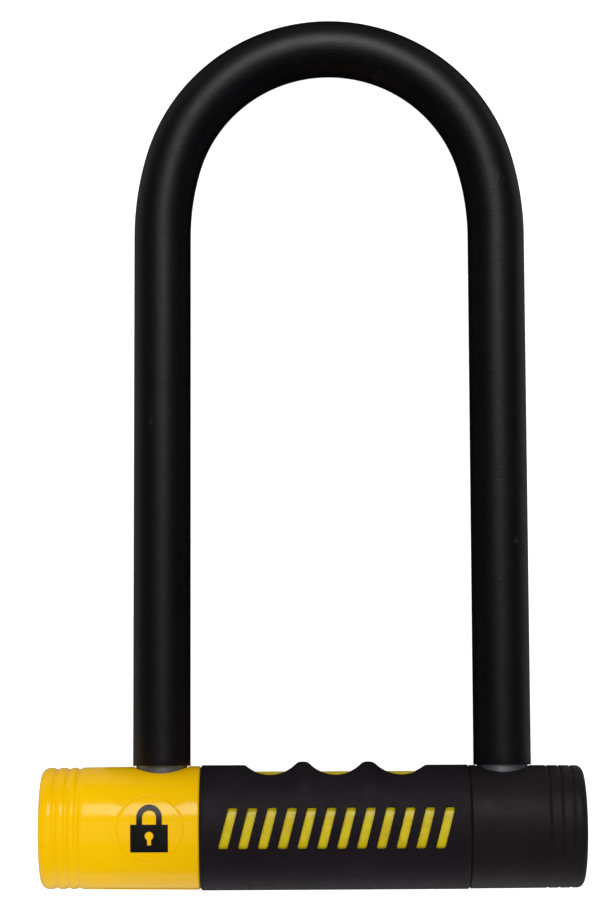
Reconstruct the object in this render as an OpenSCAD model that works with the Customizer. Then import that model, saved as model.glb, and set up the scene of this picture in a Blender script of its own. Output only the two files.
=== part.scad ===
// Heavy-duty U-lock for a bicycle or motorcycle, lying flat on its back.
// A crossbar with a disc-detainer cylinder in its left end holds both feet of a steel shackle.
// It stands closed and unlocked: the shackle lifts off along +Y, and a quarter turn of the core locks it.
// +X runs along the crossbar away from the cylinder, +Y along the shackle legs to the bend, +Z up.

/* [Shackle] */
// Clear width between the coated legs
clear_w = 99.8; // [94:0.2:106]
// Clear height from the end caps to the inside of the bend
clear_h = 248.7; // [180:0.1:320]
// Diameter of the steel bar
steel_d = 18; // [16:0.5:18.5]
// Outer diameter of the vinyl coating on the steel
coat_d = 20.4; // [19.2:0.1:20.6]
// Bending radius of the crown, at the middle of the steel
crown_r = 58.6; // [55:0.2:59]
// Larger bending radius of each shoulder below the crown
shoulder_r = 96.1; // [90:0.1:140]
// How far each foot reaches past the axis of the crossbar
foot_reach = 10; // [8.5:0.5:10]

/* [Crossbar] */
// From the middle of the shackle to the left end face
bar_left = 102.2; // [101:0.1:110]
// From the middle of the shackle to the right end face
bar_right = 88.2; // [87:0.1:100]
// From the middle of the shackle to the left end of the rubber sleeve
seam_left = 46.4; // [44:0.2:47]
// From the middle of the shackle to the right end of the rubber sleeve
seam_right = 48; // [46:0.1:49.4]
// Diameter of the left end cap where it meets the sleeve
cap_d = 43.2; // [42.2:0.2:43.6]
// Diameter of the right end cap where it meets the sleeve
right_cap_d = 43.2; // [42.2:0.2:43.6]
// Diameter of the rubber sleeve at its left end
sleeve_d = 43.8; // [43.6:0.2:45]
// Outer diameter of the hardened steel tube
tube_d = 37; // [36.8:0.1:37.2]
// Wall of the hardened steel tube
tube_wall = 3.2; // [3:0.1:3.3]

/* [Grip] */
// Distance from one finger scallop to the next
finger_pitch = 23.1; // [22:0.1:24]
// Radius of each finger scallop
finger_r = 12.6; // [12:0.1:15]
// Number of slanted windows along the front of the sleeve
window_count = 12; // [8:1:14]
// Width of one window
window_w = 3.3; // [2:0.1:3.6]
// Height of the windows
window_h = 14; // [10:0.5:16]

/* [Lock] */
// Diameter of the locking shaft on the crossbar's axis
shaft_d = 10; // [9.5:0.1:10.4]
// Diameter of the lock core
core_d = 17.9; // [17.5:0.1:18]
// Thickness of one lock disc
disc_t = 1.25; // [1:0.05:1.3]
// Distance from one lock disc to the next
disc_pitch = 1.7; // [1.6:0.05:1.9]
// Width of the keyway
keyway_w = 2.4; // [2:0.1:3]
// Height of the keyway
keyway_h = 7.2; // [6:0.2:7.4]

/* [Hidden] */
$fn = 96;

// Small gaps shared by several pieces
run_gap = 0.08;      // radial play of a bore that something slides or turns in
fit_gap = 0.05;      // play between pieces that stay put
far = 60;            // longer than anything that is cut away

// Shackle
leg_x = clear_w / 2 + coat_d / 2;
steel_r = steel_d / 2;
coat_r = coat_d / 2;
cap_r = cap_d / 2;
crown_top = cap_r + clear_h + coat_r;
shoulder_angle = acos((shoulder_r - leg_x) / (shoulder_r - crown_r));
crown_y = crown_top - crown_r;
shoulder_drop = (shoulder_r - crown_r) * sin(shoulder_angle);
coat_start = cap_r + 0.15;
steel_gap = 0.02;    // between the steel and its coating
foot_chamfer = 1;
tail_top = 6;        // the foot is a half round below this height
tail_flat = 1;       // the half round's flat face, above the axis
hook_r = 5.3;        // groove in the half round for the locking shaft

// Crossbar
tube_r = tube_d / 2;
tube_in_r = tube_r - tube_wall;
tube_x0 = -bar_left + 4.8;
tube_x1 = bar_right - 3.4;
inner_r = tube_in_r - 0.2;          // pieces that slide into the tube
cap_in_r = tube_r + 0.1;
cap_taper = 0.4;                    // the left cap is this much smaller in radius at its end
right_cap_r = right_cap_d / 2;
right_cap_taper = 0.2;
leg_hole_r = steel_r + 0.55;
cover_r = tube_r + 1.1;
sleeve_r = sleeve_d / 2;
sleeve_right_r = sleeve_r - 0.15;   // the sleeve tapers to the right
sleeve_in_r = cover_r + fit_gap;
seam_gap = 0.1;
edge = 0.6;                         // bevels beside the seams

// Grip
finger_x = 1.2;                     // middle scallop
finger_floor = 18.4;                // depth of the scallops from the axis
crest_r = 5;
crest_top = 23;
crest_lift = 1.1;                   // the crests stand proud of the sleeve
window_x0 = -38;
window_x1 = 40.5;
window_slant = 3.6;                 // sideways lean over the height
badge_x = -63.5;
badge_ring_r = 11.5;
badge_ring_w = 0.35;
badge_depth = 0.15;
badge_proud = 0.25;
badge_r = cap_r - cap_taper * (-badge_x - seam_left) / (bar_left - seam_left);

// Lock, from the left end inwards
end_recess = 1.8;                   // depth of the recess for the shutter
end_recess_r = 17.1;
end_wall = 4.6;                     // from the end face to the inside of the cap's end wall
guide_len = 29;
guide_x = leg_x - guide_len / 2;    // inner face of each foot guide
guide_far = leg_x + guide_len / 2;
foot_bore_r = steel_r + run_gap;
pad_t = 1.4;
bore_floor = -foot_reach - pad_t - 0.2;
housing_x0 = -bar_left + 5.8;
housing_x1 = -guide_far - 2.4;
core_r = core_d / 2;
core_x0 = housing_x0 + 0.1;
core_x1 = -guide_far - 1;
core_head_r = core_r + 1.25;
core_head_t = 1.6;
core_wall = 2.1;
pocket_r = 7.6;
disc_r = pocket_r - 0.1;
guard_t = 1.35;
disc_x0 = core_x0 + core_wall + guard_t + 0.15;
driver_t = 2.85;
driver_x = core_x1 - driver_t;
disc_count = floor((driver_x - disc_x0) / disc_pitch);
stack_len = disc_count * disc_pitch;
tongue_w = 3;
tongue_h = 7;
tongue_x1 = -leg_x - 10.5;
sidebar_w = 2;
sidebar_low = 6.9;
clip_t = 1;
clip_gap = 70;                      // opening of a circlip, in degrees
shaft_r = shaft_d / 2;
shaft_x0 = -leg_x - 12.5;
shaft_x1 = leg_x + 12.9;
shaft_flat = 0.7;                   // the half-moon stretches keep what is below this height
shaft_flat_len = 2 * steel_r + 1.2;
pin_r = 2;
short_pin_r = 1.5;
housing_pin_x = (housing_x0 + housing_x1) / 2;
guide_pin_x = leg_x + 11.9;
plug_x0 = guide_far + 0.2;

// Shutter
shutter_r = 5.9;
shutter_t = 1;
shutter_pivot_y = -10;
shutter_x = -bar_left + 0.5;
keyhole_r = 4.6;
pivot_r = 1;

// The origin is under the middle of the whole lock
origin_shift = [(bar_left - bar_right) / 2, -(crown_top + coat_r - sleeve_r) / 2, sleeve_r];

module place() translate(origin_shift) children();

// Round bar about the crossbar's axis
module rod(x0, x1, r) translate([x0, 0, 0]) rotate([0, 90, 0]) cylinder(h = x1 - x0, r = r);

// Hollow round bar about the crossbar's axis
module pipe(x0, x1, r_out, r_in) difference() {
    rod(x0, x1, r_out);
    rod(x0 - 1, x1 + 1, r_in);
}

// Round bar parallel to the legs
module upright(x, y0, y1, r) translate([x, y0, 0]) rotate([-90, 0, 0]) cylinder(h = y1 - y0, r = r);

// Block given by its lowest and highest corners
module block(low, high) translate(low) cube(high - low);

// Slot for the key through a disc or wall
module keyway(x0, x1) block([x0, -keyway_h / 2, -keyway_w / 2], [x1, keyway_h / 2, keyway_w / 2]);

// Crown, shoulders and legs with one section radius, each stretch drawn from where the last one ends
module shackle_path(y0, r) translate([0, crown_y, 0]) {
    rotate([0, 0, shoulder_angle])
        rotate_extrude(angle = 180 - 2 * shoulder_angle) translate([crown_r, 0]) circle(r = r);
    for (side = [0, 1]) mirror([side, 0, 0]) translate([leg_x - shoulder_r, -shoulder_drop, 0]) {
        rotate_extrude(angle = shoulder_angle) translate([shoulder_r, 0]) circle(r = r);
        translate([shoulder_r, 0, 0]) rotate([90, 0, 0]) cylinder(h = crown_y - shoulder_drop - y0, r = r);
    }
}

// Outline of an end cap: radius across, distance from the seam upwards
module cap_outline(len, r, r_end, fillet, groove_r, groove_out, grooves) difference() {
    union() {
        polygon([[0, 0], [r - edge / 2, 0], [r, edge / 2], [r_end, len - fillet], [0, len - fillet]]);
        square([r_end - fillet, len]);
        translate([r_end - fillet, len - fillet]) intersection() {
            circle(r = fillet);
            square(fillet);
        }
    }
    for (g = grooves) translate([r_end + groove_out, len - g]) circle(r = groove_r, $fn = 48);
}

// Notched circlip about the crossbar's axis
module circlip(x0, r_out, r_in) difference() {
    pipe(x0, x0 + clip_t, r_out, r_in);
    translate([x0 - 1, 0, 0]) rotate([0, 90, 0]) linear_extrude(clip_t + 2)
        polygon([[0, 0], far * [sin(clip_gap / 2), -cos(clip_gap / 2)],
            far * [-sin(clip_gap / 2), -cos(clip_gap / 2)]]);
}

module crossbar_tube() color("dimgray") place() difference() {
    pipe(tube_x0, tube_x1, tube_r, tube_in_r);
    for (side = [-1, 1]) {
        upright(side * leg_x, 0, far, steel_r + 0.4);
        for (up = [0, 1]) mirror([0, 0, up])
            translate([side * guide_pin_x, 0, 0]) cylinder(h = far, r = short_pin_r + fit_gap);
    }
    translate([housing_pin_x, 0, -far]) cylinder(h = 2 * far, r = short_pin_r + fit_gap);
    translate([(plug_x0 + tube_x1) / 2, 0, -far]) cylinder(h = 2 * far, r = pin_r + fit_gap);
}

module left_end_cap() color("gold") place() difference() {
    rotate([0, -90, 0]) translate([0, 0, seam_left]) rotate_extrude()
        cap_outline(bar_left - seam_left, cap_r, cap_r - cap_taper, 3, 1.2, 0.75, [5.6, 9.7, 13.4]);
    rod(-bar_left + end_wall, 0, cap_in_r);
    rod(-bar_left - 1, -bar_left + end_recess, end_recess_r);
    rod(-bar_left - 1, 0, keyhole_r);
    upright(-leg_x, 0, far, leg_hole_r);
    translate([0, shutter_pivot_y, 0]) rod(-bar_left, -bar_left + 4, pivot_r);
    badge_line();
}

// Thin engraved circle round the badge
module badge_line() intersection() {
    translate([badge_x, 0, 0]) difference() {
        cylinder(h = far, r = badge_ring_r + badge_ring_w);
        translate([0, 0, -1]) cylinder(h = far + 2, r = badge_ring_r);
    }
    pipe(-bar_left, 0, far, badge_r - badge_depth);
}

module right_end_cap() color([0.13, 0.12, 0.13]) place() difference() {
    rotate([0, 90, 0]) translate([0, 0, seam_right]) rotate_extrude()
        cap_outline(bar_right - seam_right, right_cap_r, right_cap_r - right_cap_taper, 2.5, 0.45, 0.2,
            [4.5, 8.6, 12.7]);
    rod(0, tube_x1 + 0.2, cap_in_r);
    upright(leg_x, 0, far, leg_hole_r);
}

module inner_cover() color([0.85, 0.72, 0.1]) place()
    pipe(-seam_left + seam_gap, seam_right - seam_gap, cover_r, cap_in_r);

module grip_sleeve() color([0.11, 0.1, 0.11]) place() difference() {
    union() {
        rotate([0, 90, 0]) rotate_extrude()
            polygon([[sleeve_in_r, -seam_left + seam_gap], [sleeve_r - edge, -seam_left + seam_gap],
                [sleeve_r, -seam_left + seam_gap + edge], [sleeve_right_r, seam_right - seam_gap - edge / 2],
                [sleeve_right_r - edge / 2, seam_right - seam_gap], [sleeve_in_r, seam_right - seam_gap]]);
        for (side = [-0.5, 0.5]) finger_crest(finger_x + side * finger_pitch);
    }
    for (i = [-1, 0, 1]) translate([finger_x + i * finger_pitch, finger_floor + finger_r, -far])
        cylinder(h = 2 * far, r = finger_r);
    windows();
}

// Raised crest between two finger scallops
module finger_crest(x) difference() {
    intersection() {
        translate([0, crest_lift, 0]) rod(x - crest_r, x + crest_r, sleeve_r);
        translate([x, crest_top - crest_r, -far]) cylinder(h = 2 * far, r = crest_r);
    }
    rod(x - far, x + far, sleeve_in_r);
}

// Slanted windows through the front wall of the sleeve
module windows() {
    step = (window_x1 - window_x0 - window_w) / (window_count - 1);
    for (i = [0:window_count - 1]) translate([window_x0 + i * step, -window_h / 2, 0])
        linear_extrude(far) polygon([[-window_slant / 2, 0], [window_w - window_slant / 2, 0],
            [window_w + window_slant / 2, window_h], [window_slant / 2, window_h]]);
}

// Plain padlock sign that lies on the round front of the cap
module badge_mark() color([0.1, 0.09, 0.09]) place() intersection() {
    translate([badge_x, 0, 0]) linear_extrude(far) union() {
        difference() {
            translate([-6.5, -8]) square([13, 9.5]);
            translate([0, -2.4]) circle(r = 1.5);
            translate([-0.7, -5.6]) square([1.4, 3]);
        }
        difference() {
            union() {
                translate([0, 4]) circle(r = 4.4);
                translate([-4.4, 1]) square([8.8, 3]);
            }
            translate([0, 4]) circle(r = 2.4);
            translate([-2.4, 0]) square([4.8, 4]);
        }
    }
    pipe(badge_x - 10, badge_x + 10, badge_r + badge_proud, badge_r + 0.05);
}

// Dark rubber ring between a leg and the edge of its hole in the cap
module leg_seal(side) intersection() {
    difference() {
        upright(side * leg_x, 0, far, leg_hole_r - fit_gap);
        upright(side * leg_x, -1, far + 1, steel_r + 0.1);
    }
    pipe(side * leg_x - 20, side * leg_x + 20, cap_r - 0.8, tube_r + fit_gap);
}

module left_leg_seal() color([0.08, 0.08, 0.08]) place() leg_seal(-1);

module right_leg_seal() color([0.08, 0.08, 0.08]) place() leg_seal(1);

// Steel block in the tube that guides a foot and the locking shaft
module foot_guide() difference() {
    rod(guide_x, guide_far, inner_r);
    rod(guide_x - 1, guide_far + 1, shaft_r + run_gap);
    upright(leg_x, bore_floor, far, foot_bore_r);
    for (up = [0, 1]) mirror([0, 0, up])
        translate([guide_pin_x, 0, 8]) cylinder(h = far, r = short_pin_r + fit_gap);
}

module left_foot_guide() color("silver") place() mirror([1, 0, 0]) foot_guide();

module right_foot_guide() color("silver") place() foot_guide();

// Rubber buffer under the tip of a foot
module foot_pad(side) upright(side * leg_x, -foot_reach - 0.1 - pad_t, -foot_reach - 0.1, steel_r - 0.1);

module left_foot_pad() color([0.1, 0.1, 0.1]) place() foot_pad(-1);

module right_foot_pad() color([0.1, 0.1, 0.1]) place() foot_pad(1);

module spacer_tube() color("silver") place()
    pipe(-guide_x + 0.2, guide_x - 0.2, inner_r, inner_r - 2.1);

// Nylon disc that keeps the long shaft from rattling
module shaft_support() color("whitesmoke") place()
    pipe(-5, 5, inner_r - 2.2, shaft_r + run_gap);

module end_plug() color("gray") place() difference() {
    rod(plug_x0, tube_x1, inner_r);
    translate([(plug_x0 + tube_x1) / 2, 0, -far]) cylinder(h = 2 * far, r = pin_r + fit_gap);
}

module plug_pin() color("dimgray") place()
    translate([(plug_x0 + tube_x1) / 2, 0, -tube_r + 0.1]) cylinder(h = 2 * tube_r - 0.2, r = pin_r);

module housing_pins() color("dimgray") place() for (up = [0, 1]) mirror([0, 0, up])
    translate([housing_pin_x, 0, 11]) cylinder(h = tube_r - 11.1, r = short_pin_r);

module guide_pins() color("dimgray") place() for (side = [-1, 1], up = [0, 1]) mirror([0, 0, up])
    translate([side * guide_pin_x, 0, 8.1]) cylinder(h = tube_r - 8.2, r = short_pin_r);

module cylinder_housing() color("darkgray") place() difference() {
    rod(housing_x0, housing_x1, inner_r);
    rod(housing_x0 - 1, housing_x1 + 1, core_r + fit_gap);
    rod(housing_x0 - 1, core_x0 + core_head_t + 0.1, core_head_r + fit_gap);
    block([disc_x0, -sidebar_w / 2 - 0.1, -core_r - 1], [disc_x0 + stack_len, sidebar_w / 2 + 0.1, 0]);
    for (up = [0, 1]) mirror([0, 0, up])
        translate([housing_pin_x, 0, 10.9]) cylinder(h = far, r = short_pin_r + fit_gap);
}

// Flat washer that keeps water out of the cylinder
module keyway_seal() color([0.1, 0.1, 0.1]) place()
    pipe(-bar_left + end_wall + 0.05, housing_x0 - 0.05, inner_r - 0.6, core_head_r + 0.3);

// Rivet that the shutter swings on
module shutter_pivot() color("silver") place() translate([0, shutter_pivot_y, 0]) {
    rod(-bar_left + 0.1, -bar_left + 3.9, pivot_r - 0.03);
    rod(-bar_left + 0.1, shutter_x - 0.05, 1.8);
}

module cylinder_core() color([0.8, 0.65, 0.35]) place() difference() {
    union() {
        rod(core_x0, core_x1, core_r);
        rod(core_x0, core_x0 + core_head_t, core_head_r);
    }
    rod(core_x0 + core_wall, core_x1 + 1, pocket_r);
    keyway(core_x0 - 1, core_x0 + core_wall + 1);
    block([disc_x0, 0, -sidebar_w / 2 - fit_gap], [disc_x0 + stack_len, far, sidebar_w / 2 + fit_gap]);
    difference() {
        rod(housing_x1 + 0.05, housing_x1 + clip_t + 0.15, core_r + 1);
        rod(housing_x1, core_x1, core_r - 0.8);
    }
}

// Disc with its keyway and the notch that the sidebar drops into
module notched_disc(x, t) difference() {
    rod(x, x + t, disc_r);
    keyway(x - 1, x + t + 1);
    block([x - 1, sidebar_low - 0.1, -sidebar_w / 2 - 0.05], [x + t + 1, far, sidebar_w / 2 + 0.05]);
}

module lock_discs() color([0.85, 0.7, 0.4]) place()
    for (i = [0:disc_count - 1]) notched_disc(disc_x0 + i * disc_pitch, disc_t);

module disc_spacers() color("silver") place()
    for (i = [0:disc_count - 2])
        notched_disc(disc_x0 + i * disc_pitch + disc_t + 0.02, disc_pitch - disc_t - 0.04);

module sidebar() color("silver") place() block([disc_x0 + 0.2, sidebar_low, -sidebar_w / 2],
    [disc_x0 + stack_len - 0.2, core_r - 0.05, sidebar_w / 2]);

// Hardened disc in front of the lock discs
module drill_guard() color("dimgray") place() difference() {
    rod(core_x0 + core_wall + 0.05, core_x0 + core_wall + 0.05 + guard_t, disc_r);
    keyway(core_x0, core_x0 + far);
}

// Plug in the back of the core with the tongue that turns the locking shaft
module tail_driver() color("silver") place() {
    rod(driver_x, core_x1, pocket_r - 0.05);
    block([core_x1 - 0.5, -tongue_h / 2, -tongue_w / 2], [tongue_x1, tongue_h / 2, tongue_w / 2]);
}

module core_circlip() color("silver") place()
    circlip(housing_x1 + 0.1, core_r + 1.5, core_r - 0.75);

module locking_shaft() color("gray") place() difference() {
    rod(shaft_x0, shaft_x1, shaft_r);
    block([shaft_x0 - 1, -far, -tongue_w / 2 - 0.05], [tongue_x1 + 0.2, far, tongue_w / 2 + 0.05]);
    for (side = [-1, 1]) {
        block([side * leg_x - shaft_flat_len / 2, -far, shaft_flat],
            [side * leg_x + shaft_flat_len / 2, far, far]);
        difference() {
            rod(side * (guide_x - 1.75) - 0.6, side * (guide_x - 1.75) + 0.6, far);
            rod(-far, far, shaft_r - 0.6);
        }
    }
}

module shaft_washers() color("silver") place() for (side = [0, 1]) mirror([side, 0, 0])
    pipe(guide_x - 1.1, guide_x - 0.1, 9, shaft_r + run_gap);

module shaft_circlips() color("silver") place() for (side = [-1, 1])
    circlip(side * (guide_x - 1.75) - clip_t / 2, shaft_r + 2.2, shaft_r - 0.55);

module shackle_bar() color([0.62, 0.63, 0.65]) place() difference() {
    union() {
        shackle_path(-foot_reach + foot_chamfer, steel_r);
        for (side = [-1, 1]) translate([side * leg_x, -foot_reach, 0]) rotate([-90, 0, 0])
            cylinder(h = foot_chamfer, r1 = steel_r - foot_chamfer, r2 = steel_r);
    }
    for (side = [-1, 1])
        block([side * leg_x - 20, -far, -far], [side * leg_x + 20, tail_top, tail_flat]);
    rod(-leg_x - 20, leg_x + 20, hook_r);
}

module shackle_coating() color([0.1, 0.1, 0.1]) place() difference() {
    shackle_path(coat_start, coat_r);
    shackle_path(coat_start - 1, steel_r + steel_gap);
}

// Dust shutter over the keyway, with a nub to push it aside
module keyhole_shutter() color([0.15, 0.15, 0.15]) place() difference() {
    union() {
        rod(shutter_x, shutter_x + shutter_t, shutter_r);
        translate([0, shutter_pivot_y, 0]) rod(shutter_x, shutter_x + shutter_t, 3);
        block([shutter_x, shutter_pivot_y, -3], [shutter_x + shutter_t, 0, 3]);
        translate([0, 3, 0]) rod(shutter_x - 0.4, shutter_x + 0.1, 1.4);
    }
    translate([0, shutter_pivot_y, 0]) rod(shutter_x - 1, shutter_x + 2, pivot_r);
}

crossbar_tube();
left_end_cap();
right_end_cap();
inner_cover();
grip_sleeve();
badge_mark();
left_leg_seal();
right_leg_seal();
left_foot_guide();
right_foot_guide();
left_foot_pad();
right_foot_pad();
spacer_tube();
shaft_support();
end_plug();
plug_pin();
housing_pins();
guide_pins();
cylinder_housing();
keyway_seal();
shutter_pivot();
cylinder_core();
lock_discs();
disc_spacers();
sidebar();
drill_guard();
tail_driver();
core_circlip();
locking_shaft();
shaft_washers();
shaft_circlips();
shackle_bar();
shackle_coating();
keyhole_shutter();
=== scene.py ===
"""Looks of a closed U-lock: coated steel shackle, crossbar with a yellow and a black end cap, rubber grip.

Lengths are millimetres in the lock's own axes: x along the crossbar, y along the legs, z up, with the
origin on the crossbar's axis midway between the legs. Angles round the crossbar go from +z (0) to +y (90).
"""
import math

import bmesh
import bpy
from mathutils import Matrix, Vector


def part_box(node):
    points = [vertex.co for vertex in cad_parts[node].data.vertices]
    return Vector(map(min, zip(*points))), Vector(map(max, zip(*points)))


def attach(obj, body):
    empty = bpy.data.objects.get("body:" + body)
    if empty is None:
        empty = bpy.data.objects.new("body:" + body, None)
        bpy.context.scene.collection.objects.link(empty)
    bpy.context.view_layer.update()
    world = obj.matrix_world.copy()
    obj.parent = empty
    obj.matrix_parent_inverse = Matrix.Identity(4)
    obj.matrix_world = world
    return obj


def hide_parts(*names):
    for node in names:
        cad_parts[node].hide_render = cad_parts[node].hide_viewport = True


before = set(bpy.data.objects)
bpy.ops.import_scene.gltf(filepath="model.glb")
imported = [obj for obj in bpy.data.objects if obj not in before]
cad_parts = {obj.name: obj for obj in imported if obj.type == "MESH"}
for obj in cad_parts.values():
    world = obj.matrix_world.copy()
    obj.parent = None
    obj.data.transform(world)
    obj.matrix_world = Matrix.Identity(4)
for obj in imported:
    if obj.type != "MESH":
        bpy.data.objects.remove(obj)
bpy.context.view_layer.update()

MM = 0.001


# ---------------------------------------------------------------- sizes, from the frame where it has them

def span(node, axis):
    """Lowest and highest coordinate of a CAD node along one axis, in mm of the row frame."""
    low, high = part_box(node)
    return low[axis] / MM, high[axis] / MM


def middle(node, axis):
    return sum(span(node, axis)) / 2


def half(node, axis):
    low, high = span(node, axis)
    return (high - low) / 2


ORIGIN = Vector((middle("shackle_coating", 0), middle("crossbar_tube", 1), middle("crossbar_tube", 2)))
LEG_X = middle("right_foot_pad", 0) - ORIGIN.x
END_LEFT = span("left_end_cap", 0)[0] - ORIGIN.x
END_RIGHT = span("right_end_cap", 0)[1] - ORIGIN.x
SEAM_LEFT = span("left_end_cap", 0)[1] - ORIGIN.x
SEAM_RIGHT = span("right_end_cap", 0)[0] - ORIGIN.x
LEFT_CAP_R = half("left_end_cap", 2)
RIGHT_CAP_R = half("right_end_cap", 2)
CAP_IN_R = half("crossbar_tube", 2) + 0.1
COVER_R = half("inner_cover", 2)
SLEEVE_X0 = span("grip_sleeve", 0)[0] - ORIGIN.x
SLEEVE_X1 = span("grip_sleeve", 0)[1] - ORIGIN.x
SLEEVE_IN_R = COVER_R + 0.05
SLEEVE_R = half("grip_sleeve", 2)
SLEEVE_TAPER = 0.15
STEEL_R = half("shackle_bar", 2)
COAT_R = half("shackle_coating", 2)
COAT_START = span("shackle_coating", 1)[0] - ORIGIN.y - 0.1
COAT_TOP = span("shackle_coating", 1)[1] - ORIGIN.y
LEG_HOLE_R = half("right_leg_seal", 0) + 0.05
BADGE_X = middle("badge_mark", 0) - ORIGIN.x

# Radii of the shackle's centreline, as in part.scad: tighter at the crown than at the shoulders
CROWN_R = 58.6
SHOULDER_R = 96.1

# Faces that meet at more than this angle keep a sharp edge
SHARP_ANGLE = math.radians(40)


# ---------------------------------------------------------------- meshes

class Shape:
    """Points and faces of one piece, in the lock's axes."""

    def __init__(self):
        self.points = []
        self.faces = []

    def add(self, points):
        start = len(self.points)
        self.points.extend(points)
        return list(range(start, len(self.points)))

    def strip(self, ring_a, ring_b):
        """Faces between two closed rings with the same number of points."""
        for i in range(len(ring_a)):
            j = (i + 1) % len(ring_a)
            self.faces.append((ring_a[i], ring_a[j], ring_b[j], ring_b[i]))

    def rings(self, rings, first=None, last=None):
        """New rings one after the other, joined to the rings first and last if they are given."""
        made = [self.add(ring) for ring in rings]
        if first:
            made.insert(0, first)
        if last:
            made.append(last)
        for a, b in zip(made, made[1:]):
            self.strip(a, b)
        return made

    def disc(self, ring, centre):
        hub = self.add([centre])[0]
        for i in range(len(ring)):
            self.faces.append((ring[i], ring[(i + 1) % len(ring)], hub))

    def build(self, name, material, body, slot, replaces):
        """Makes the object and rides it on its body, in place of the CAD nodes that it replaces."""
        mesh = bpy.data.meshes.new(name)
        mesh.from_pydata([(Vector(p) + ORIGIN) * MM for p in self.points], [], self.faces)
        work = bmesh.new()
        work.from_mesh(mesh)
        bmesh.ops.delete(work, geom=[v for v in work.verts if not v.link_faces], context="VERTS")
        bmesh.ops.remove_doubles(work, verts=work.verts, dist=0.001 * MM)
        bmesh.ops.recalc_face_normals(work, faces=work.faces)
        work.to_mesh(mesh)
        work.free()
        mesh.shade_smooth()
        mesh.set_sharp_from_angle(angle=SHARP_ANGLE)
        mesh.materials.append(material)
        piece = bpy.data.objects.new(name, mesh)
        bpy.context.scene.collection.objects.link(piece)
        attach(piece, body)
        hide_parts(*replaces)


def spread(start, end, count):
    """count + 1 even steps from start to end."""
    return [start + (end - start) * i / count for i in range(count + 1)]


def even(start, end, pitch):
    return spread(start, end, max(1, round(abs(end - start) / pitch)))


def smooth_step(value):
    value = min(1.0, max(0.0, value))
    return value * value * (3 - 2 * value)


def soft_min(a, b, width):
    share = min(1.0, max(0.0, 0.5 + 0.5 * (b - a) / width))
    return b + (a - b) * share - width * share * (1 - share)


def turned(x, radius, angle):
    """Point at a radius and angle round the crossbar."""
    return (x, radius * math.sin(angle), radius * math.cos(angle))


def lathe(profile, angles):
    """Rings of a profile of (x, radius) points."""
    return [[turned(x, radius, angle) for angle in angles] for x, radius in profile]


def corner(x, radius, size, start, end, steps=6):
    """Profile points of a round corner about (x, radius), from one angle to another in degrees."""
    return [(x + size * math.cos(math.radians(a)), radius + size * math.sin(math.radians(a)))
            for a in spread(start, end, steps)]


def skin(shape, us, vs, at, blocks=()):
    """Faces over lines us along the bar and vs round it, with blocks of cells left open."""
    grid = [shape.add([at(u, v) for v in vs]) for u in us]
    for i in range(len(us) - 1):
        for j in range(len(vs)):
            if not any(b[0] <= i < b[1] and b[2] <= j < b[3] for b in blocks):
                k = (j + 1) % len(vs)
                shape.faces.append((grid[i][j], grid[i + 1][j], grid[i + 1][k], grid[i][k]))
    return grid


def block(us, vs, u_range, v_range):
    """The cells of a grid that cover a range each way: first and last u line, first and last v line."""
    def nearest(lines, value):
        return min(range(len(lines)), key=lambda i: abs(lines[i] - value))
    i = sorted(nearest(us, u) for u in u_range)
    j = sorted(nearest(vs, v) for v in v_range)
    return (*i, *j)


def block_about(us, vs, x, angle, halves):
    """The cells within a half length and a half angle of a place on the skin."""
    half_x, half_angle = halves
    return block(us, vs, (x - half_x, x + half_x), (angle - half_angle, angle + half_angle))


def border(cells):
    """Line numbers (i, j) round a block of cells."""
    i0, i1, j0, j1 = cells
    return ([(i, j0) for i in range(i0, i1)] + [(i1, j) for j in range(j0, j1)]
            + [(i, j1) for i in range(i1, i0, -1)] + [(i0, j) for j in range(j1, j0, -1)])


def hole(shape, outer, inner, cells, column):
    """Closes an open block of two skins with the walls of a hole.

    column gives the points of one line down the wall, from out to in.
    """
    edge = border(cells)
    levels = zip(*[column(i, j) for i, j in edge])
    shape.rings(levels, [outer[i][j] for i, j in edge], [inner[i][j] for i, j in edge])


# ---------------------------------------------------------------- materials

def colour(red, green, blue):
    """Linear colour from 0-255 sRGB."""
    def linear(value):
        value /= 255
        return value / 12.92 if value <= 0.04045 else ((value + 0.055) / 1.055) ** 2.4
    return (linear(red), linear(green), linear(blue), 1)


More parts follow.
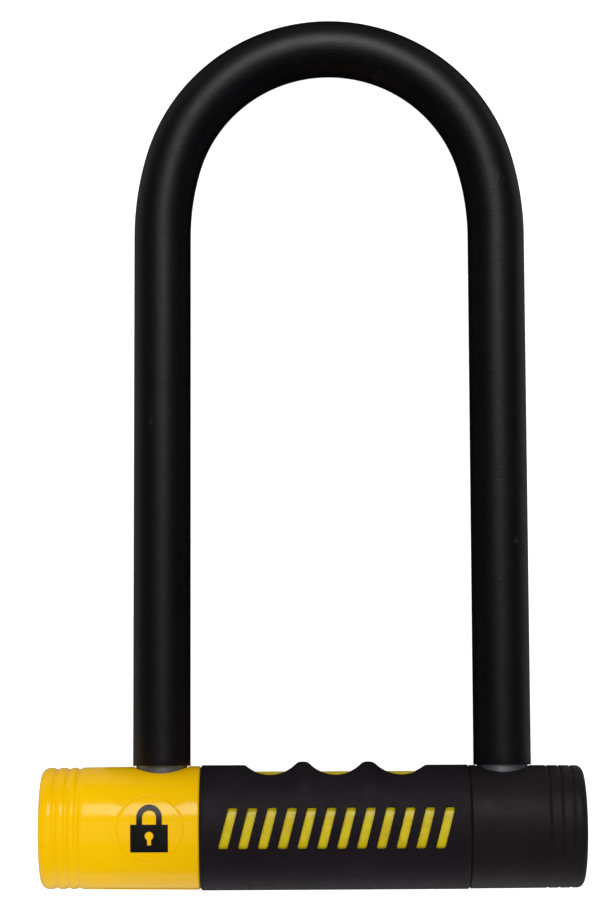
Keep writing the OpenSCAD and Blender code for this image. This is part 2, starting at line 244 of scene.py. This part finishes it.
class Finish:
    """A node material on a Principled shader, with patterns in the object's own space."""

    def __init__(self, name, metallic=0.0, specular=0.5):
        self.material = bpy.data.materials.new(name)
        self.material.use_nodes = True
        self.tree = self.material.node_tree
        self.shader = self.tree.nodes["Principled BSDF"]
        self.shader.inputs["Metallic"].default_value = metallic
        self.shader.inputs["IOR"].default_value = 1.5
        self.shader.inputs["Specular IOR Level"].default_value = specular
        self.place = self.tree.nodes.new("ShaderNodeTexCoord").outputs["Object"]
        self.normal = None

    def feed(self, socket, value):
        """Links a socket to another one, or sets it to a plain value."""
        if isinstance(value, bpy.types.NodeSocket):
            self.tree.links.new(value, socket)
        else:
            socket.default_value = value

    def node(self, kind, **inputs):
        made = self.tree.nodes.new(kind)
        for key, value in inputs.items():
            self.feed(made.inputs[key], value)
        return made

    def stretched(self, x, y, z):
        """Object space squeezed or drawn out along the axes."""
        made = self.node("ShaderNodeMapping", Vector=self.place)
        made.inputs["Scale"].default_value = (x, y, z)
        return made.outputs["Vector"]

    def noise(self, size, detail=3.0, rough=0.55, place=None):
        """Noise with features of about that size in mm, from 0 to 1."""
        made = self.node("ShaderNodeTexNoise", Vector=place or self.place, Scale=1 / (size * MM),
                         Detail=detail, Roughness=rough)
        return made.outputs["Fac"]

    def ramp(self, value, low, high, from_low=0.3, from_high=0.7):
        """A value carried from one range to another, and held at its ends."""
        made = self.node("ShaderNodeMapRange", Value=value)
        made.inputs["From Min"].default_value = from_low
        made.inputs["From Max"].default_value = from_high
        made.inputs["To Min"].default_value = low
        made.inputs["To Max"].default_value = high
        return made.outputs["Result"]

    def mix(self, share, a, b):
        """Colour a where share is 0, b where it is 1."""
        made = self.tree.nodes.new("ShaderNodeMix")
        made.data_type = "RGBA"
        for socket, value in zip((made.inputs[0], made.inputs[6], made.inputs[7]), (share, a, b)):
            self.feed(socket, value)
        return made.outputs[2]

    def math(self, operation, a, b):
        made = self.tree.nodes.new("ShaderNodeMath")
        made.operation = operation
        for socket, value in zip(made.inputs, (a, b)):
            self.feed(socket, value)
        return made.outputs[0]

    def bump(self, height, depth):
        """Relief of that depth in mm, on top of any relief before it."""
        made = self.node("ShaderNodeBump", Height=height, Strength=1.0, Distance=depth * MM)
        if self.normal:
            self.tree.links.new(self.normal, made.inputs["Normal"])
        self.normal = made.outputs["Normal"]

    def done(self, base, roughness):
        self.tree.links.new(base, self.shader.inputs["Base Color"])
        self.tree.links.new(roughness, self.shader.inputs["Roughness"])
        if self.normal:
            self.tree.links.new(self.normal, self.shader.inputs["Normal"])
        return self.material


def specks(finish, spacing, size):
    """Sparse round dots: 1 inside a dot of that size, 0 elsewhere, in mm."""
    cells = finish.node("ShaderNodeTexVoronoi", Vector=finish.place, Scale=1 / (spacing * MM))
    near = finish.ramp(cells.outputs["Distance"], 1, 0, size / spacing * 0.35, size / spacing * 0.5)
    pick = finish.ramp(finish.noise(spacing * 1.7, 1), 0, 1, 0.62, 0.66)
    return finish.math("MULTIPLY", near, pick)


def yellow_plastic():
    """Moulded glossy plastic of the left cap: faint flow clouds, dust specks, hairline scuffs, and a band
    of painted shade near the left leg.
    """
    finish = Finish("yellow_plastic", specular=0.35)
    base = finish.mix(finish.ramp(finish.noise(26, 3), 0, 1), colour(253, 199, 0), colour(250, 193, 0))
    base = finish.mix(finish.ramp(finish.noise(0.6, 2), 0, 0.10), base, colour(226, 170, 0))
    # Painted shade: the yellow is darkened along the bar, from about 74 mm to 40 mm left of the middle,
    # standing in for the shade near the left leg and the seam.
    along = finish.node("ShaderNodeSeparateXYZ", Vector=finish.place).outputs["X"]
    base = finish.mix(finish.ramp(along, 0, 1, -0.074, -0.040), base, colour(237, 184, 0))
    base = finish.mix(finish.math("MULTIPLY", specks(finish, 9, 0.45), 0.55), base, colour(120, 84, 12))
    finish.bump(finish.noise(7, 2), 0.05)
    finish.bump(finish.noise(0.35, 3), 0.004)
    return finish.done(base, finish.ramp(finish.noise(3.5, 4), 0.13, 0.18))


def black_plastic():
    """Right cap: the same shape of moulding in satin black, slightly brown."""
    finish = Finish("black_plastic", specular=0.25)
    base = finish.mix(finish.ramp(finish.noise(18, 4), 0, 1), colour(29, 25, 27), colour(24, 21, 22))
    base = finish.mix(finish.math("MULTIPLY", specks(finish, 8, 0.4), 0.5), base, colour(76, 70, 70))
    finish.bump(finish.noise(0.5, 4), 0.012)
    finish.bump(finish.noise(6, 2), 0.04)
    return finish.done(base, finish.ramp(finish.noise(4, 4), 0.46, 0.56))


def grip_rubber():
    """Soft matt rubber of the sleeve with a fine eroded grain and dust in it."""
    finish = Finish("grip_rubber", specular=0.3)
    base = finish.mix(finish.ramp(finish.noise(14, 5), 0, 1), colour(28, 22, 27), colour(23, 18, 22))
    dust = finish.ramp(finish.noise(0.8, 4, 0.7), 0, 0.30, 0.58, 0.75)
    base = finish.mix(dust, base, colour(50, 44, 47))
    finish.bump(finish.noise(0.45, 3, 0.6), 0.03)
    finish.bump(finish.noise(5, 2), 0.06)
    return finish.done(base, finish.ramp(finish.noise(2.5, 4), 0.55, 0.66))


def vinyl():
    """Dipped coating of the shackle: semi-gloss, slightly wavy, with a few rubbed places."""
    finish = Finish("vinyl", specular=0.85)
    base = finish.mix(finish.ramp(finish.noise(30, 4), 0, 1), colour(10, 8, 11), colour(7, 6, 8))
    rubbed = finish.ramp(finish.noise(5, 5, 0.7, finish.stretched(1, 0.35, 1)), 0, 1, 0.66, 0.72)
    base = finish.mix(finish.math("MULTIPLY", rubbed, 0.30), base, colour(58, 54, 56))
    finish.bump(finish.noise(11, 2), 0.10)
    finish.bump(finish.noise(0.4, 2, 0.5, finish.stretched(0.1, 1, 0.1)), 0.055)
    rough = finish.ramp(finish.noise(3, 5), 0.43, 0.49)
    rough = finish.math("ADD", rough, finish.math("MULTIPLY", rubbed, 0.10))
    return finish.done(base, rough)


def cover_yellow():
    """Thin yellow tube under the sleeve: greener than the cap, with drawn lines along it."""
    finish = Finish("cover_yellow")
    base = finish.mix(finish.ramp(finish.noise(5, 4), 0, 1), colour(214, 194, 20), colour(196, 172, 8))
    grime = finish.ramp(finish.noise(1.6, 5, 0.7), 0, 0.30, 0.50, 0.75)
    base = finish.mix(grime, base, colour(120, 104, 20))
    finish.bump(finish.noise(0.8, 3, 0.5, finish.stretched(0.12, 1, 1)), 0.02)
    return finish.done(base, finish.ramp(finish.noise(2, 4), 0.26, 0.38))


def badge_black():
    """Printed foil of the sign on the cap."""
    finish = Finish("badge_black")
    base = finish.mix(finish.ramp(finish.noise(3, 4), 0, 1), colour(26, 24, 24), colour(20, 18, 18))
    finish.bump(finish.noise(0.3, 3), 0.006)
    return finish.done(base, finish.ramp(finish.noise(1.2, 4), 0.30, 0.38))


def seal_rubber():
    finish = Finish("seal_rubber")
    base = finish.mix(finish.ramp(finish.noise(3, 4), 0, 1), colour(24, 23, 24), colour(17, 17, 18))
    finish.bump(finish.noise(0.4, 4), 0.02)
    return finish.done(base, finish.ramp(finish.noise(1, 3), 0.55, 0.7))


def metal(name, light, dark, rough_low, rough_high, drawn=(1, 1, 1), depth=0.004, metallic=0.6):
    """Bare or plated metal, satin rather than bright, with tool marks along one axis and light staining."""
    grain = 1.2
    finish = Finish(name, metallic=metallic)
    base = finish.mix(finish.ramp(finish.noise(grain * 6, 5), 0, 1), light, dark)
    marks = finish.noise(grain * 0.35, 4, 0.65, finish.stretched(*drawn))
    base = finish.mix(finish.ramp(marks, 0, 0.25, 0.45, 0.8), base, dark)
    finish.bump(marks, depth)
    return finish.done(base, finish.ramp(finish.noise(grain * 2, 4), rough_low, rough_high))


def nylon():
    finish = Finish("nylon")
    base = finish.mix(finish.ramp(finish.noise(3, 3), 0, 1), colour(226, 224, 214), colour(210, 206, 194))
    finish.bump(finish.noise(0.6, 3), 0.01)
    return finish.done(base, finish.ramp(finish.noise(2, 3), 0.4, 0.5))


MATERIALS = {
    "yellow_plastic": yellow_plastic(),
    "black_plastic": black_plastic(),
    "cover_yellow": cover_yellow(),
    "grip_rubber": grip_rubber(),
    "badge_black": badge_black(),
    "seal_rubber": seal_rubber(),
    "vinyl": vinyl(),
    "tube_steel": metal("tube_steel", colour(150, 152, 156), colour(104, 106, 110), 0.30, 0.45,
                        drawn=(0.1, 1, 1)),
    "machined_steel": metal("machined_steel", colour(206, 207, 210), colour(160, 162, 166), 0.20, 0.34,
                            drawn=(1, 0.15, 0.15)),
    "shackle_steel": metal("shackle_steel", colour(206, 208, 214), colour(150, 153, 158), 0.44, 0.52,
                           drawn=(0.12, 1, 0.12), depth=0.02, metallic=0.9),
    "dark_steel": metal("dark_steel", colour(92, 92, 95), colour(60, 60, 63), 0.35, 0.5),
    "spring_steel": metal("spring_steel", colour(120, 118, 116), colour(84, 82, 82), 0.28, 0.42),
    "nylon": nylon(),
    "brass": metal("brass", colour(214, 178, 96), colour(176, 140, 70), 0.22, 0.36),
}


# ---------------------------------------------------------------- end caps

CAP_ANGLES = [math.radians(a) for a in range(-180, 180, 2)]
CAP_BEVEL = 0.5
UP = math.radians(90)

# Half length and half angle of the blocks left open in a cap's skin, for the leg and for the round line
LEG_BLOCK = (12.9, math.radians(38))
BADGE_BLOCK = (13.5, math.radians(39))


def leg_column(us, vs, outer_r, inner_r, leg_x):
    """Points down the round hole of a leg, for each point of the open block round it."""
    rim = 0.5
    steps = 8
    def column(i, j):
        radius = outer_r(us[i])
        away = Vector((us[i] - leg_x, radius * math.cos(vs[j])))
        ray = away.normalized()

        def on_skin(reach, drop=0.0):
            x, z = ray * reach
            return (leg_x + x, math.sqrt(outer_r(leg_x + x) ** 2 - z * z) - drop, z)
        shrink = LEG_HOLE_R + rim - away.length
        points = [on_skin(away.length + shrink * t) for t in spread(0, 1, steps)[1:]]
        for angle in spread(0, math.pi / 2, 5)[1:]:
            points.append(on_skin(LEG_HOLE_R + rim * (1 - math.sin(angle)), rim * (1 - math.cos(angle))))
        inner_away = Vector((us[i] - leg_x, inner_r * math.cos(vs[j])))
        for t in (0.0, 0.5):
            x, z = (ray * LEG_HOLE_R).lerp(inner_away, t)
            points.append((leg_x + x, math.sqrt(inner_r ** 2 - z * z), z))
        return points
    return column


def ring_groove(shape, us, vs, outer_r, grid, cells, centre, radius, width, depth):
    """Thin engraved circle on the front of the cap, and the smooth skin inside it."""
    edge = border(cells)

    def level(reach, drop):
        ring = []
        for i, j in edge:
            away = Vector((us[i] - centre, outer_r(us[i]) * math.sin(vs[j])))
            x, y = away.normalized() * min(reach, away.length)
            ring.append((centre + x, y, math.sqrt((outer_r(centre + x) - drop) ** 2 - y * y)))
        return ring
    profile = [(radius + width * 1.9, 0), (radius + width * 1.1, 0), (radius + width, depth * 0.3),
               (radius + width * 0.75, depth * 0.9), (radius + width * 0.5, depth),
               (radius + width * 0.25, depth * 0.9), (radius, depth * 0.3), (radius - width * 0.1, 0)]
    profile += [(radius * share, 0) for share in (0.93, 0.8, 0.65, 0.5, 0.35, 0.2, 0.08)]
    made = shape.rings([level(*step) for step in profile], [grid[i][j] for i, j in edge])
    shape.disc(made[-1], (centre, 0, outer_r(centre)))


def cap_shape(end, seam, leg_x, cap_r, taper, fillet, grooves, groove_w, groove_d,
              end_profile, wall_x, badge=None):
    """Cap from its seam to its end, with the hole for a leg and round grooves near the end."""
    way = 1 if end > 0 else -1

    def outer_r(x):
        radius = cap_r - taper * (x - seam) / (end - seam)
        for at in grooves:
            radius -= groove_d * math.exp(-(((end - way * at) - x) / groove_w) ** 2)
        return radius
    straight_end = end - way * fillet
    fine_from = end - way * 16
    us = even(seam + way * CAP_BEVEL, fine_from, 0.8) + even(fine_from, straight_end, 0.3)[1:]
    vs = CAP_ANGLES
    leg_cells = block_about(us, vs, leg_x, UP, LEG_BLOCK)
    cells = [leg_cells]
    if badge:
        cells.append(block_about(us, vs, badge[0], 0, BADGE_BLOCK))
    shape = Shape()
    outer = skin(shape, us, vs, lambda x, v: turned(x, outer_r(x), v), cells)
    end_r = outer_r(straight_end)
    start = 0 if way > 0 else 180
    round_end = corner(straight_end, end_r - fillet, fillet, 90, start, 12)[1:]
    inner_us = [x for x in us if abs(x) < abs(wall_x)] + [wall_x]
    inner = skin(shape, inner_us, vs, lambda x, v: turned(x, CAP_IN_R, v), [leg_cells])
    shape.rings(lathe([(seam, CAP_IN_R), (seam, outer_r(seam) - CAP_BEVEL)], vs), inner[0], outer[0])
    hole(shape, outer, inner, leg_cells, leg_column(us, vs, outer_r, CAP_IN_R, leg_x))
    if badge:
        ring_groove(shape, us, vs, outer_r, outer, cells[1], *badge)
    rings = shape.rings(lathe(round_end + end_profile, vs), outer[-1])
    return shape, rings[-1], inner[-1]


def left_cap():
    """Yellow cap: end face with the recess of the shutter and the keyhole through its wall."""
    recess_x = END_LEFT + 1.8
    wall_x = END_LEFT + 4.6
    profile = [(END_LEFT, 17.4)] + corner(END_LEFT + 0.3, 17.4, 0.3, 180, 270, 4)
    profile += [(recess_x - 0.3, 17.1)] + corner(recess_x - 0.3, 16.8, 0.3, 90, 0, 4)
    profile += [(recess_x, 14.0), (recess_x, 13.8), (recess_x + 0.15, 13.7), (recess_x + 0.15, 13.3),
                (recess_x, 13.2), (recess_x, 5.2)] + corner(recess_x + 0.3, 4.9, 0.3, 180, 270, 4)
    profile += [(wall_x, 4.6)]
    shape, rim, inner = cap_shape(END_LEFT, SEAM_LEFT, -LEG_X, LEFT_CAP_R, taper=0.4, fillet=3.0,
                                  grooves=(5.6, 9.7, 13.4), groove_w=0.85, groove_d=0.55,
                                  end_profile=profile, wall_x=wall_x, badge=(BADGE_X, 11.5, 0.4, 0.1))
    shape.strip(rim, inner)
    shape.build("yellow_end_cap", MATERIALS["yellow_plastic"], "crossbar", "yellow_plastic",
                ["left_end_cap"])


def right_cap():
    """Black cap with a closed, slightly dished end face."""
    wall_x = span("crossbar_tube", 0)[1] - ORIGIN.x + 0.2
    dish_x = END_RIGHT - 0.4
    dimple_x = END_RIGHT - 0.55
    profile = [(END_RIGHT, 17.5), (END_RIGHT, 16.2), (END_RIGHT - 0.35, 15.6), (dish_x, 12)]
    profile += [(dish_x, 5), (dish_x, 2.2), (dimple_x, 2.0), (dimple_x, 0.6)]
    shape, rim, inner = cap_shape(END_RIGHT, SEAM_RIGHT, LEG_X, RIGHT_CAP_R, taper=0.2, fillet=2.5,
                                  grooves=(4.5, 8.6, 12.7), groove_w=0.32, groove_d=0.3,
                                  end_profile=profile, wall_x=wall_x)
    shape.disc(rim, (dimple_x, 0, 0))
    middle_ring = shape.rings(lathe([(wall_x, 9), (wall_x, 1)], CAP_ANGLES), inner)[-1]
    shape.disc(middle_ring, (wall_x, 0, 0))
    shape.build("black_end_cap", MATERIALS["black_plastic"], "crossbar", "black_plastic",
                ["right_end_cap"])


# ---------------------------------------------------------------- grip sleeve and the cover under it

FINGER_X = 1.2
FINGER_PITCH = 23.1
FINGER_R = 12.6
FINGER_FLOOR = 18.4
CREST_LIFT = 1.2
CREST_HALF = 3.9
OPENING_EDGE = 0.25
SCALLOP_BLOCK = (8.2, math.radians(31))
WINDOWS = 12
WINDOW_W = 3.3
WINDOW_H = 14.0
WINDOW_LEAN = 3.6
WINDOW_CORNER = 0.6
WINDOW_X0 = -38 + WINDOW_W / 2
WINDOW_STEP = (40.5 + 38 - WINDOW_W) / (WINDOWS - 1)
SCALLOPS = [FINGER_X + i * FINGER_PITCH for i in (-1, 0, 1)]
CRESTS = [FINGER_X + i * FINGER_PITCH for i in (-0.5, 0.5)]


def sleeve_radius(x, angle):
    """Outer radius of the sleeve: a slight taper, and scallops and crests on the shackle's side."""
    radius = SLEEVE_R - SLEEVE_TAPER * (x - SLEEVE_X0) / (SLEEVE_X1 - SLEEVE_X0)
    side = math.sin(angle)
    if side < 0.4:
        return radius
    lift = max(0.0, *[CREST_LIFT * (1 - ((x - crest) / CREST_HALF) ** 2) for crest in CRESTS])
    lift *= smooth_step((side - 0.4) / 0.4)
    radius = lift * side + math.sqrt(radius ** 2 - (lift * math.cos(angle)) ** 2)
    for scallop in SCALLOPS:
        reach = FINGER_R ** 2 - (x - scallop) ** 2
        if reach > 0:
            radius = soft_min(radius, (FINGER_FLOOR + FINGER_R - math.sqrt(reach)) / side, 0.35)
    return radius


def sleeve_x(u, angle):
    """Lines across the sleeve lean with the windows at the front and stand straight elsewhere."""
    side = SLEEVE_R * math.sin(angle)
    limit = 8.5
    lean = WINDOW_LEAN / WINDOW_H * max(-limit, min(limit, side))
    away = abs(angle) - math.radians(24)
    lean *= 1 - smooth_step(away / math.radians(26))
    return u + lean * smooth_step((u - SLEEVE_X0) / 6) * smooth_step((SLEEVE_X1 - u) / 6)


def sleeve_point(u, angle):
    x = sleeve_x(u, angle)
    return turned(x, sleeve_radius(x, angle), angle)


def rounded_box(x, y, half_x, half_y, radius):
    """Nearest point to (x, y) on a box with round corners."""
    core_x = max(radius - half_x, min(half_x - radius, x))
    core_y = max(radius - half_y, min(half_y - radius, y))
    core = Vector((core_x, core_y))
    return core + (Vector((x, y)) - core).normalized() * radius


def window_column(us, vs, centre):
    """Points down the wall of one slanted window."""
    rim = 0.3
    steps = 3

    def column(i, j):
        y = sleeve_radius(us[i], vs[j]) * math.sin(vs[j])
        away = Vector((us[i] - centre, y))
        target = rounded_box(away.x, away.y, WINDOW_W / 2 + rim, WINDOW_H / 2 + rim, WINDOW_CORNER + rim)
        inner = rounded_box(away.x, away.y, WINDOW_W / 2, WINDOW_H / 2, WINDOW_CORNER)

        def on_skin(flat, drop=0.0):
            u, side = flat
            x = centre + u + WINDOW_LEAN / WINDOW_H * side
            radius = sleeve_radius(x, 0)
            return (x, side, math.sqrt(radius ** 2 - side ** 2) - drop)
        points = [on_skin(away.lerp(target, t)) for t in spread(0, 1, steps)[1:]]
        for angle in spread(0, math.pi / 2, 4)[1:]:
            points.append(on_skin(inner.lerp(target, 1 - math.sin(angle)), rim * (1 - math.cos(angle))))
        under = Vector((us[i] - centre, SLEEVE_IN_R * math.sin(vs[j])))
        for t in (0.0, 0.5):
            u, side = inner.lerp(under, t)
            x = centre + u + WINDOW_LEAN / WINDOW_H * side
            points.append((x, side, math.sqrt(SLEEVE_IN_R ** 2 - side ** 2)))
        return points
    return column


def scallop_column(us, vs, centre):
    """Points over a scallop to the edge of its opening, and back under the sleeve."""
    steps = 14
    edge_r = SLEEVE_IN_R + OPENING_EDGE

    def column(i, j):
        away = Vector((sleeve_x(us[i], vs[j]) - centre, vs[j] - UP))

        def radius(share):
            return sleeve_radius(centre + away.x * share, UP + away.y * share)
        low, high = 0.0, 1.0
        for _ in range(40):
            share = (low + high) / 2
            low, high = (low, share) if radius(share) > edge_r else (share, high)

        def at(share, r):
            return turned(centre + away.x * share, r, UP + away.y * share)
        points = [at(1 + (high - 1) * t, radius(1 + (high - 1) * t)) for t in spread(0, 1, steps)[1:]]
        points += [at(high * 0.99, edge_r - 0.06), at(high * 0.985, edge_r - OPENING_EDGE * 0.6)]
        points += [at(high * 0.99, SLEEVE_IN_R)]
        points += [at(high * 0.99 + (1 - high * 0.99) * t, SLEEVE_IN_R) for t in (0.33, 0.66)]
        return points
    return column


def grip():
    """Rubber sleeve with slanted windows at the front and scallops that open on to the yellow cover."""
    bevel = 1.0
    cell = WINDOW_STEP / 12
    last = WINDOW_X0 + (WINDOWS - 1) * WINDOW_STEP
    us = [SLEEVE_X0 + bevel] + [WINDOW_X0 + i * cell for i in range(-16, 0)]
    us += [WINDOW_X0 + i * cell for i in range((WINDOWS - 1) * 12)]
    us += [last + i * cell for i in range(16)] + [SLEEVE_X1 - bevel / 2]
    degrees = even(-180, -30, 3.2)[:-1] + even(-30, 150, 1.5)[:-1] + even(150, 180, 3.2)[:-1]
    vs = [math.radians(a) for a in degrees]
    front = math.asin(8.5 / SLEEVE_R)
    windows = [WINDOW_X0 + i * WINDOW_STEP for i in range(WINDOWS)]
    cells = [block(us, vs, (c - cell * 5, c + cell * 5), (-front, front)) for c in windows]
    cells += [block_about(us, vs, c, UP, SCALLOP_BLOCK) for c in SCALLOPS]
    shape = Shape()
    outer = skin(shape, us, vs, sleeve_point, cells)
    inner = skin(shape, us, vs, lambda u, v: turned(sleeve_x(u, v), SLEEVE_IN_R, v), cells)
    for centre, part in zip(windows, cells):
        hole(shape, outer, inner, part, window_column(us, vs, centre))
    for centre, part in zip(SCALLOPS, cells[WINDOWS:]):
        hole(shape, outer, inner, part, scallop_column(us, vs, centre))
    left_end = [(SLEEVE_X0, SLEEVE_IN_R)]
    left_end += corner(SLEEVE_X0 + bevel, SLEEVE_R - bevel, bevel, 180, 90)[:-1]
    right_r = SLEEVE_R - SLEEVE_TAPER
    right_end = corner(SLEEVE_X1 - bevel / 2, right_r - bevel / 2, bevel / 2, 90, 0)[1:]
    right_end += [(SLEEVE_X1, SLEEVE_IN_R)]
    shape.rings(lathe(left_end, vs), inner[0], outer[0])
    shape.rings(lathe(right_end, vs), outer[-1], inner[-1])
    shape.build("rubber_grip", MATERIALS["grip_rubber"], "crossbar", "grip_rubber", ["grip_sleeve"])


def cover():
    """Yellow tube under the sleeve, with rounded ends."""
    angles = [math.radians(a) for a in range(-180, 180, 3)]
    x0 = span("inner_cover", 0)[0] - ORIGIN.x
    x1 = span("inner_cover", 0)[1] - ORIGIN.x
    inner_r = CAP_IN_R
    profile = [(x0, inner_r + 0.1)] + corner(x0 + 0.3, COVER_R - 0.3, 0.3, 180, 90, 4)
    profile += [(x, COVER_R) for x in even(x0 + 1, x1 - 1, 3)]
    profile += corner(x1 - 0.3, COVER_R - 0.3, 0.3, 90, 0, 4) + [(x1, inner_r + 0.1)]
    shape = Shape()
    rings = shape.rings(lathe(profile + [(x1 - 0.1, inner_r), (x0 + 0.1, inner_r)], angles))
    shape.strip(rings[-1], rings[0])
    shape.build("yellow_cover", MATERIALS["cover_yellow"], "crossbar", "cover_yellow", ["inner_cover"])


# ---------------------------------------------------------------- shackle

def shackle_line(leg_pitch, bend_pitch):
    """Centreline from the left leg's coating end round to the right one: (x, y, direction in radians)."""
    lean = math.acos((SHOULDER_R - LEG_X) / (SHOULDER_R - CROWN_R))
    crown_y = COAT_TOP - COAT_R - CROWN_R
    shoulder_y = crown_y - (SHOULDER_R - CROWN_R) * math.sin(lean)
    shoulder_x = LEG_X - SHOULDER_R
    line = [(-LEG_X, y, math.pi / 2) for y in even(COAT_START, shoulder_y, leg_pitch)]
    for turn in even(0, lean, bend_pitch / SHOULDER_R)[1:]:
        line.append((-shoulder_x - SHOULDER_R * math.cos(turn), shoulder_y + SHOULDER_R * math.sin(turn),
                     math.pi / 2 - turn))
    for turn in even(lean, math.pi / 2, bend_pitch / CROWN_R)[1:]:
        line.append((-CROWN_R * math.cos(turn), crown_y + CROWN_R * math.sin(turn), math.pi / 2 - turn))
    return line + [(-x, y, -way) for x, y, way in reversed(line[:-1])]


def hoop(station, radius, count, along=0.0):
    """Ring of points round the centreline, moved along it."""
    x, y, way = station
    ahead = Vector((math.cos(way), math.sin(way), 0))
    aside = Vector((-math.sin(way), math.cos(way), 0))
    centre = Vector((x, y, 0)) + ahead * along
    return [tuple(centre + aside * (radius * math.cos(a)) + Vector((0, 0, radius * math.sin(a))))
            for a in spread(0, 2 * math.pi, count)[:-1]]


def coating():
    """Vinyl tube over the steel, with a soft rolled lip at each end."""
    count = 72
    lip = 0.25
    line = shackle_line(3.0, 2.2)
    inner_r = STEEL_R + 0.02

    def lips(station, way):
        rings = [hoop(station, inner_r, count, way * 0.25)]
        rings.append(hoop(station, inner_r + 0.15, count, way * 0.05))
        for angle in spread(0, math.pi / 2, 6):
            radius = COAT_R - lip * (1 - math.sin(angle)) * 0.9
            rings.append(hoop(station, radius, count, way * lip * (1 - math.cos(angle))))
        return rings
    first, last = line[0], line[-1]
    rings = lips(first, 1) + [hoop(s, COAT_R, count) for s in line[1:-1]] + lips(last, -1)[::-1]
    inside = shackle_line(60, 4)[1:-1]
    rings += [hoop(s, inner_r, count) for s in reversed(inside)]
    shape = Shape()
    made = shape.rings(rings)
    shape.strip(made[-1], made[0])
    shape.build("vinyl_coating", MATERIALS["vinyl"], "shackle", "vinyl", ["shackle_coating"])


left_cap()
right_cap()
grip()
cover()
coating()


# ---------------------------------------------------------------- CAD nodes that show as they are

NODE_MATERIALS = {
    "badge_black": ["badge_mark"],
    "seal_rubber": ["left_leg_seal", "right_leg_seal", "left_foot_pad", "right_foot_pad", "keyway_seal"],
    "tube_steel": ["crossbar_tube", "spacer_tube", "end_plug"],
    "machined_steel": ["left_foot_guide", "right_foot_guide", "cylinder_housing", "tail_driver",
                       "locking_shaft", "shutter_pivot", "shaft_washers"],
    "dark_steel": ["plug_pin", "housing_pins", "guide_pins", "drill_guard"],
    "spring_steel": ["core_circlip", "shaft_circlips"],
    "nylon": ["shaft_support"],
    "brass": ["cylinder_core", "lock_discs", "sidebar", "disc_spacers"],
    "shackle_steel": ["shackle_bar"],
    "black_plastic": ["keyhole_shutter"],
}

for finish_name, names in NODE_MATERIALS.items():
    for name in names:
        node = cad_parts[name]
        node.data.materials.clear()
        node.data.materials.append(MATERIALS[finish_name])

# Widths of the small bevels on the edges of CAD nodes that are seen from outside, in mm
EDGE_BEVELS = {"keyhole_shutter": 0.2, "shutter_pivot": 0.2, "shackle_bar": 0.3, "left_leg_seal": 0.2,
               "right_leg_seal": 0.2}

for name, width in EDGE_BEVELS.items():
    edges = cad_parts[name].modifiers.new("edges", "BEVEL")
    edges.width = width * MM
    edges.segments = 2
    edges.limit_method = "ANGLE"
    edges.angle_limit = SHARP_ANGLE
    edges.harden_normals = True


# ---------------------------------------------------------------- stage, light and camera

def plane(name, centre, size, material):
    half_x, half_y = size[0] / 2, size[1] / 2
    mesh = bpy.data.meshes.new(name)
    corners = [(-half_x, -half_y, 0), (half_x, -half_y, 0), (half_x, half_y, 0), (-half_x, half_y, 0)]
    mesh.from_pydata(corners, [], [(0, 1, 2, 3)])
    mesh.materials.append(material)
    made = bpy.data.objects.new(name, mesh)
    made.location = centre
    bpy.context.scene.collection.objects.link(made)
    return made


def glowing(name, base, glow, strength):
    material = bpy.data.materials.new(name)
    material.use_nodes = True
    shader = material.node_tree.nodes["Principled BSDF"]
    shader.inputs["Base Color"].default_value = base
    shader.inputs["Roughness"].default_value = 1.0
    shader.inputs["Specular IOR Level"].default_value = 0.0
    shader.inputs["Emission Color"].default_value = glow
    shader.inputs["Emission Strength"].default_value = strength
    return material


WHITE = (1, 1, 1, 1)
BLACK = (0, 0, 0, 1)
PALE = (0.8, 0.8, 0.8, 1)

floor = plane("floor", (0, 0, 0), (60, 60), glowing("floor_white", PALE, WHITE, 0.75))
floor.visible_glossy = False

# Cards that only reflections see, in place of the pale floor. Each card: name, centre, size in m, glow
CARDS = [
    ("card_left", (-0.375, 0.1, 0.002), (0.60, 1.2), 0.20),
    ("card_right", (0.390, 0.1, 0.002), (0.60, 1.2), 0.24),
    ("card_near", (0, -0.42, 0.002), (0.40, 0.5), 0.55),
    ("card_far", (0, 0.5, 0.002), (0.28, 0.5), 0.10),
]
for name, centre, size, glow in CARDS:
    card = plane(name, centre, size, glowing(name, BLACK, WHITE, glow))
    card.visible_camera = False
    card.visible_shadow = False
    card.visible_diffuse = False


def area_light(name, spot, aim, size, watts):
    data = bpy.data.lights.new(name, "AREA")
    data.shape = "RECTANGLE"
    data.size, data.size_y = size
    data.energy = watts
    lamp = bpy.data.objects.new(name, data)
    lamp.location = spot
    lamp.rotation_mode = "QUATERNION"
    lamp.rotation_quaternion = (Vector(aim) - Vector(spot)).to_track_quat("-Z", "Y")
    bpy.context.scene.collection.objects.link(lamp)
    return lamp


area_light("softbox", (0.06, 1.05, 1.65), (0, 0, 0.02), (0.7, 0.75), 9)
fill = area_light("fill", (0, -0.35, 2.2), (0, 0, 0), (1.6, 1.6), 33)
fill.visible_glossy = False

world = bpy.data.worlds.new("surroundings")
world.use_nodes = True
world.node_tree.nodes["Background"].inputs["Color"].default_value = WHITE
world.node_tree.nodes["Background"].inputs["Strength"].default_value = 0.26
world.cycles_visibility.glossy = False
bpy.context.scene.world = world

# The photograph's viewing angle, from a fit of the lock's outline: nearly straight down, 1 m away
CAMERA_PLACE = (-0.00722, -0.11565, 1.00743)
CAMERA_TURN = (0.1123, -0.0034, -0.0041)
LENS = 108.28

camera_data = bpy.data.cameras.new("camera")
camera_data.lens = LENS
camera_data.sensor_width = 36
camera_data.clip_end = 20
camera = bpy.data.objects.new("camera", camera_data)
camera.location = CAMERA_PLACE
camera.rotation_mode = "ZXY"
camera.rotation_euler = CAMERA_TURN
bpy.context.scene.collection.objects.link(camera)
bpy.context.scene.camera = camera
bpy.context.scene.view_settings.view_transform = "Standard"
